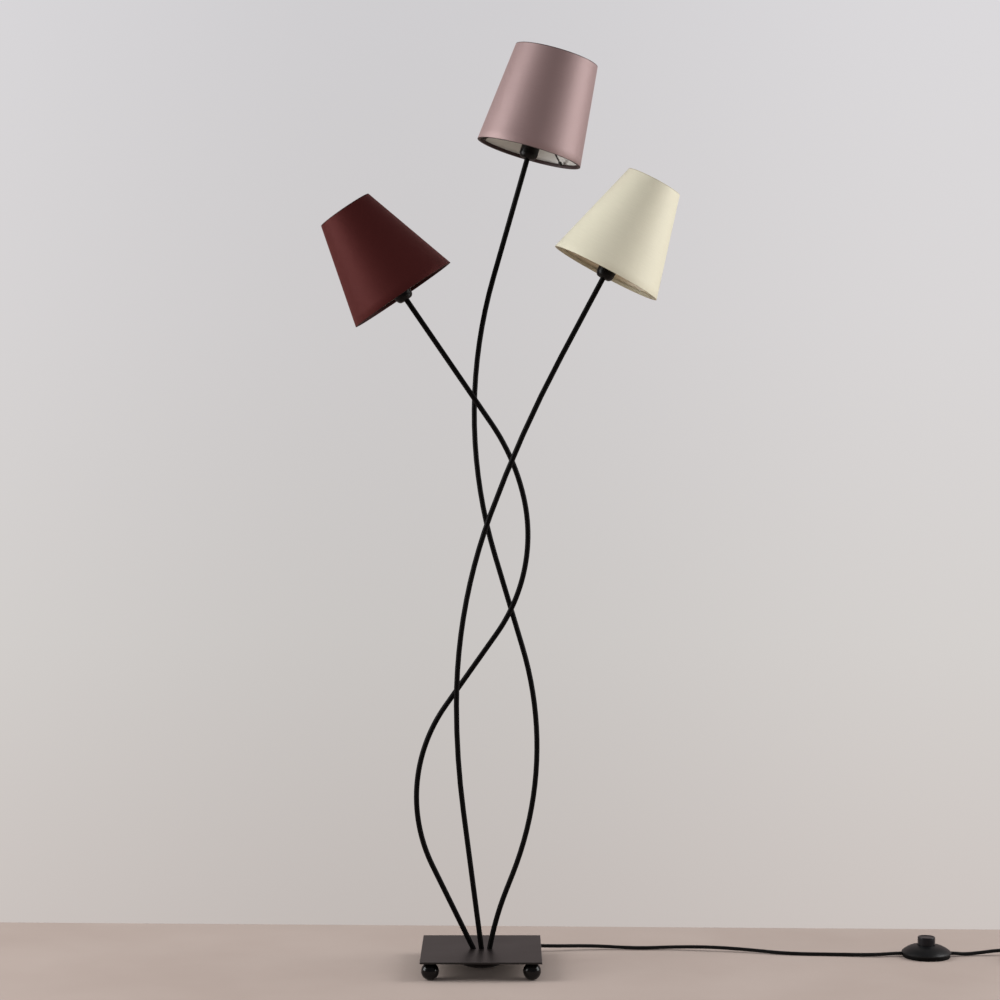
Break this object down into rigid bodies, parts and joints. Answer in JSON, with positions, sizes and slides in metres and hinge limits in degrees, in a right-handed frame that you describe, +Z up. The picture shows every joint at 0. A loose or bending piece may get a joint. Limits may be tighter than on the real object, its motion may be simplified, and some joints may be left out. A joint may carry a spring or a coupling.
{
  "type": "tree floor lamp",
  "caption": "Floor lamp with crossing curved tubular stems on a square plate with ball feet, each stem carrying a tilted conical fabric shade, and a foot switch on the cord.",
  "frame": {"origin": "middle of the base at floor level, between the ball feet", "axes": "+Z up, +X towards the cream shade and the foot switch, -Y the front"},
  "size_m": [1.1428, 0.2279, 1.3931],
  "materials": {
    "black_powder_coat": "satin black powder coat on steel",
    "ball_black": "glossy black lacquer on turned balls",
    "zinc_steel": "bright zinc plating",
    "terminal_white": "natural moulded plastic",
    "moulded_black": "semi-gloss moulded plastic",
    "button_black": "semi-gloss moulded plastic",
    "bush_black": "soft moulded rubber",
    "cord_black": "smooth flexible sheath",
    "plug_black": "matt moulded sheath",
    "pin_metal": "nickel plated brass",
    "holder_black": "glossy black phenolic moulding",
    "insert_white": "white ceramic with a metal shell",
    "bulb_cap_metal": "rolled thread cap",
    "bulb_opal": "opal glass",
    "rose_fabric": "satin weave on a stiff backing",
    "burgundy_fabric": "satin weave on a stiff backing",
    "cream_fabric": "plain weave on a stiff backing",
    "lining_white": "glossy white backing sheet",
    "carrier_wire": "dark coated wire"
  },
  "bodies": {
    "stand": {"base_plate": "black_powder_coat", "wiring_cup": "black_powder_coat", "rose_stem": "black_powder_coat", "burgundy_stem": "black_powder_coat", "cream_stem": "black_powder_coat", "ball_foot_front_left": "ball_black", "ball_foot_front_right": "ball_black", "ball_foot_rear_left": "ball_black", "ball_foot_rear_right": "ball_black", "foot_studs": "zinc_steel", "cup_pillars": "zinc_steel", "cup_screws": "zinc_steel", "stem_washers": "zinc_steel", "stem_nuts": "zinc_steel", "switch_screws": "zinc_steel", "switch_spring": "zinc_steel", "terminal_block": "terminal_white", "cord_clamp": "moulded_black", "switch_base": "moulded_black", "switch_cover": "moulded_black", "switch_mechanism": "moulded_black", "cord_bush": "bush_black", "stem_leads": "cord_black", "switch_cord": "cord_black", "supply_cord": "cord_black", "cord_coil": "cord_black", "plug_cord": "cord_black", "plug": "plug_black", "plug_pins": "pin_metal", "rose_holder_cap": "holder_black", "rose_holder_sleeve": "holder_black", "rose_ring_nut": "holder_black", "rose_lamp_insert": "insert_white", "rose_bulb_cap": "bulb_cap_metal", "rose_bulb_glass": "bulb_opal", "burgundy_holder_cap": "holder_black", "burgundy_holder_sleeve": "holder_black", "burgundy_ring_nut": "holder_black", "burgundy_lamp_insert": "insert_white", "burgundy_bulb_cap": "bulb_cap_metal", "burgundy_bulb_glass": "bulb_opal", "cream_holder_cap": "holder_black", "cream_holder_sleeve": "holder_black", "cream_ring_nut": "holder_black", "cream_lamp_insert": "insert_white", "cream_bulb_cap": "bulb_cap_metal", "cream_bulb_glass": "bulb_opal"},
    "foot_button": {"switch_button": "button_black"},
    "rose_shade": {"rose_shade_cover": "rose_fabric", "rose_shade_lining": "lining_white", "rose_shade_top_ring": "carrier_wire", "rose_shade_carrier": "carrier_wire"},
    "burgundy_shade": {"burgundy_shade_cover": "burgundy_fabric", "burgundy_shade_lining": "lining_white", "burgundy_shade_top_ring": "carrier_wire", "burgundy_shade_carrier": "carrier_wire"},
    "cream_shade": {"cream_shade_cover": "cream_fabric", "cream_shade_lining": "lining_white", "cream_shade_top_ring": "carrier_wire", "cream_shade_carrier": "carrier_wire"}
  },
  "joints": [
    {"name": "button_press", "type": "slide", "parent": "stand", "child": "foot_button", "axis": [0, 0, -1], "range_m": [0, 0.003], "stiffness_N_per_m": 600, "springref_m": -0.002, "deforming": ["switch_spring"]},
    {"name": "rose_shade_turn", "type": "hinge", "parent": "stand", "child": "rose_shade", "pos_m": [0.06902, 0.02698, 1.21795], "axis": [0.274, 0.0218, 0.9615], "continuous": true},
    {"name": "burgundy_shade_turn", "type": "hinge", "parent": "stand", "child": "burgundy_shade", "pos_m": [-0.11205, -0.00611, 1.00291], "axis": [-0.5653, -0.0346, 0.8241], "continuous": true},
    {"name": "cream_shade_turn", "type": "hinge", "parent": "stand", "child": "cream_shade", "pos_m": [0.18141, -0.02037, 1.03418], "axis": [0.4702, -0.0016, 0.8826], "continuous": true}
  ]
}
